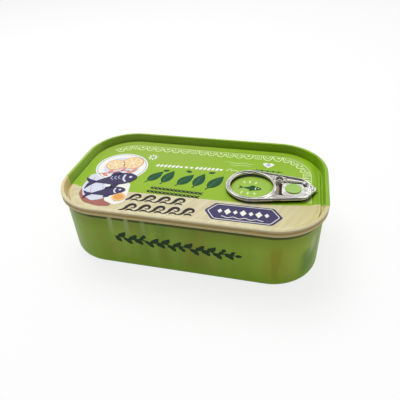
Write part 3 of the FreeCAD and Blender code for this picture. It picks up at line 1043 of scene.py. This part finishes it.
def fish(art, x, y, length, height, turn, body, mark, layer, bands=(), band_ink=None):
    """Plain fish: body, tail, fins, gill line, eye and any bands behind the gill."""
    def scaled(points):
        return [turned(px * length, py * height, x, y, turn) for px, py in points]

    for outline in (smooth_line(FISH_BODY, 4, closed=True), FISH_TAIL, *FISH_FINS):
        art.shape(scaled(outline), body, layer)
    art.stroke(scaled(smooth_line(FISH_GILL, 5)), 0.04 * length, mark, layer + 1)
    art.dot(*scaled([(0.37, 0.08)])[0], 0.032 * length, mark, layer + 1, count=12)
    for share in bands:
        band = smooth_line([(share, 0.30), (share - 0.03, 0.14), (share + 0.01, 0.0)], 4)
        art.stroke(scaled(band), 0.42, band_ink, layer + 1)


def citrus(art, x, y, radius, layer):
    """Round slice of citrus."""
    art.dot(x, y, radius, "orange", layer, count=36)
    art.dot(x, y, 0.88 * radius, "cream", layer + 1, count=36)
    for angle in range(10, 370, 45):
        wedge = [turned(0.12 * radius, 0, x, y, angle)]
        wedge += [turned(0.78 * radius, 0, x, y, angle + offset) for offset in np.linspace(-17, 17, 7)]
        art.shape(wedge, "peach", layer + 2)


def plate_picture():
    """Fish, citrus and herbs on a plate, at the left end."""
    art = Print("plate_picture", "lid_print")
    # Board, folded napkin and its creases, as (x, y, radius) corners.
    board = ((-44.6, -12.0, 1.5), (-36.0, -10.0, 2), (-27.5, -22.6, 1.2), (-33.0, -23.3, 3),
             (-40.0, -21.9, 5), (-44.0, -17.0, 3))
    napkin = ((-45.0, -2.5, 2.0), (-38.0, -2.4, 2), (-31.5, -18.0, 2.5), (-37.0, -20.6, 2), (-42.0, -17.6, 3),
              (-44.8, -12.5, 2))
    fold = ((-38.4, -2.4, 1), (-25.6, -7.0, 2.5), (-23.4, -19.0, 3), (-27.0, -21.6, 2), (-31.9, -19.6, 2))
    for layer, (corners, ink) in enumerate(((board, "rose_brown"), (napkin, "cool_white"), (fold, "white"))):
        art.shape(rounded(corners, steps=6), ink, layer)
    for crease, layer in ((((-38.6, -5.0), (-36.2, -11.0), (-33.2, -16.6)), 2),
                          (((-42.6, -5.0), (-41.4, -11.0), (-38.4, -17.6)), 2),
                          (((-35.2, -6.0), (-30.6, -12.0), (-27.6, -19.6)), 3)):
        art.stroke(smooth_line(crease), 0.3, "grey_blue", layer)
    # Plate.
    x, y = -34.2, 4.6
    art.ellipse(x, y, 11.4, 11.0, "white", 3, count=56)
    art.stroke(oval(x, y, 10.6, 10.2, 56), 0.35, "grey_blue", 4, closed=True)
    art.ellipse(x, y, 7.9, 7.6, "cool_white", 4, count=48)
    citrus(art, -30.6, 8.4, 4.9, 5)
    citrus(art, -37.6, 5.6, 4.2, 6)
    # Sprig behind the fish.
    stem = smooth_line([(-41.8, -2.2), (-37.5, -0.8), (-32.5, 1.6), (-27.6, 1.5)])
    art.stroke(stem, 0.45, "pink", 9)
    for index, (x, y) in enumerate(stem[2::3]):
        side = 1 if index % 2 else -1
        art.leaf(x, y, 3.4, 1.6, 18 + side * 48, "pink", 9)
    fish(art, -34.6, -6.0, 21.5, 8.6, 20, "navy", "cool_white", 10, (0.02, 0.09, 0.16), "grey_blue")
    fish(art, -34.0, -14.6, 17.0, 5.6, 20, "navy", "cool_white", 10)
    # Half an egg.
    art.ellipse(-27.0, -16.6, 2.9, 2.6, "peach", 9, count=26)
    art.ellipse(-27.0, -16.6, 2.1, 1.85, "orange", 10, count=26)
    art.finish()


def label():
    """Plain dark label with a thin line, diamonds and a wave."""
    art = Print("plain_label", "lid_print")

    def placed(points):
        return [turned(x, y, 22.2, -18.2, 0.4) for x, y in points]

    def pointed(a, b, point):
        corners = [(-a, 0, 0.8), (-a + point, b, 1.6), (a - point, b, 1.6),
                   (a, 0, 0.8), (a - point, -b, 1.6), (-a + point, -b, 1.6)]
        return placed(rounded(corners, steps=5))

    art.shape(pointed(14.3, 4.8, 3.4), "label", 1)
    art.stroke(pointed(13.1, 4.15, 3.0), 0.28, "white", 2, closed=True)
    for step in range(-3, 4):
        size = 1.45 if step % 2 else 2.1
        x, y = placed([(step * 2.85, 0.35)])[0]
        wide, tall = 0.62 * size, 0.85 * size
        art.shape([(x - wide, y), (x, y + tall), (x + wide, y), (x, y - tall)], "white", 2)
    wave = [(x, -2.75 + 0.32 * math.sin(1.5 * x)) for x in np.linspace(-7.6, 7.6, 40)]
    art.stroke(placed(wave), 0.3, "white", 2)
    art.finish()


# One running wave, as shares of its width and height: its back with a crest that curls over, and its foot.
WAVE_BACK = ((0.00, 0.04), (0.22, 0.10), (0.42, 0.34), (0.52, 0.66), (0.70, 0.94), (0.92, 0.96), (1.06, 0.78),
             (1.02, 0.56), (0.86, 0.48), (0.78, 0.60))
WAVE_FOOT = ((0.52, 0.04), (0.66, 0.22), (0.86, 0.24), (1.04, 0.08))


def scroll_rows():
    """Two rows of running waves, as on old borders, on the cream field."""
    art = Print("scroll_rows", "lid_print")
    for left, count, foot, slope, wide, tall in ((-24.8, 4, -17.9, 0.02, 5.9, 4.2),
                                                 (-24.2, 5, -24.2, 0.05, 5.6, 4.3)):
        for x in np.arange(count) * wide:
            back, under = (
                smooth_line([(left + x + px * wide, foot + slope * x + py * tall) for px, py in line], steps)
                for line, steps in ((WAVE_BACK, 4), (WAVE_FOOT, 5)))
            share = np.linspace(0, 1, len(back))
            widths = 0.30 + 1.35 * np.sin(math.pi * share ** 0.8) ** 1.5 * (1 - 0.35 * share)
            art.stroke(back, widths, "black", 1)
            art.stroke(under, pen(len(under), 0.95, 0.15), "black", 1)
    art.finish()


def front_vine():
    """Leafy vine with berries along the front wall."""
    art = Print("front_leaves", "body_print", on_front)

    def stem(x):
        return 15.6 - 0.040 * (x + 26) + 0.35 * math.sin(0.75 * x)

    art.stroke([(x, stem(x)) for x in np.arange(-25.2, 21.4, 0.6)], 0.5, "wall_green")
    for step in range(21):
        x = -24.6 + 2.16 * step
        side = 1 if step % 2 else -1
        if step % 7 == 5:
            art.stroke([(x, stem(x)), (x + 0.5, stem(x) + 1.3 * side)], 0.35, "wall_green", 1)
            art.dot(x + 0.6, stem(x) + 1.75 * side, 0.8, "wall_green", count=20)
        else:
            art.leaf(x, stem(x), 3.3, 1.9, 52 * side, "wall_green", 1)
        art.leaf(x + 1.0, stem(x + 1.0), 2.3, 1.3, -46 * side, "wall_green", 1)
    art.leaf(21.2, stem(21.2), 2.6, 1.4, 4, "wall_green", 1)
    art.finish()


scene.view_settings.view_transform = "Standard"
make_camera()
make_world()
make_floor()
make_lamp()
lid_paint = lid_material()
make_body(body_material())
make_lid(lid_paint)
make_rivet(lid_paint)
make_ring_pull(metal_material())
for name, color in INKS.items():
    ink_material(name, color)
for make_print in (lace, leaf_row, plate_picture, label, scroll_rows, front_vine):
    make_print()
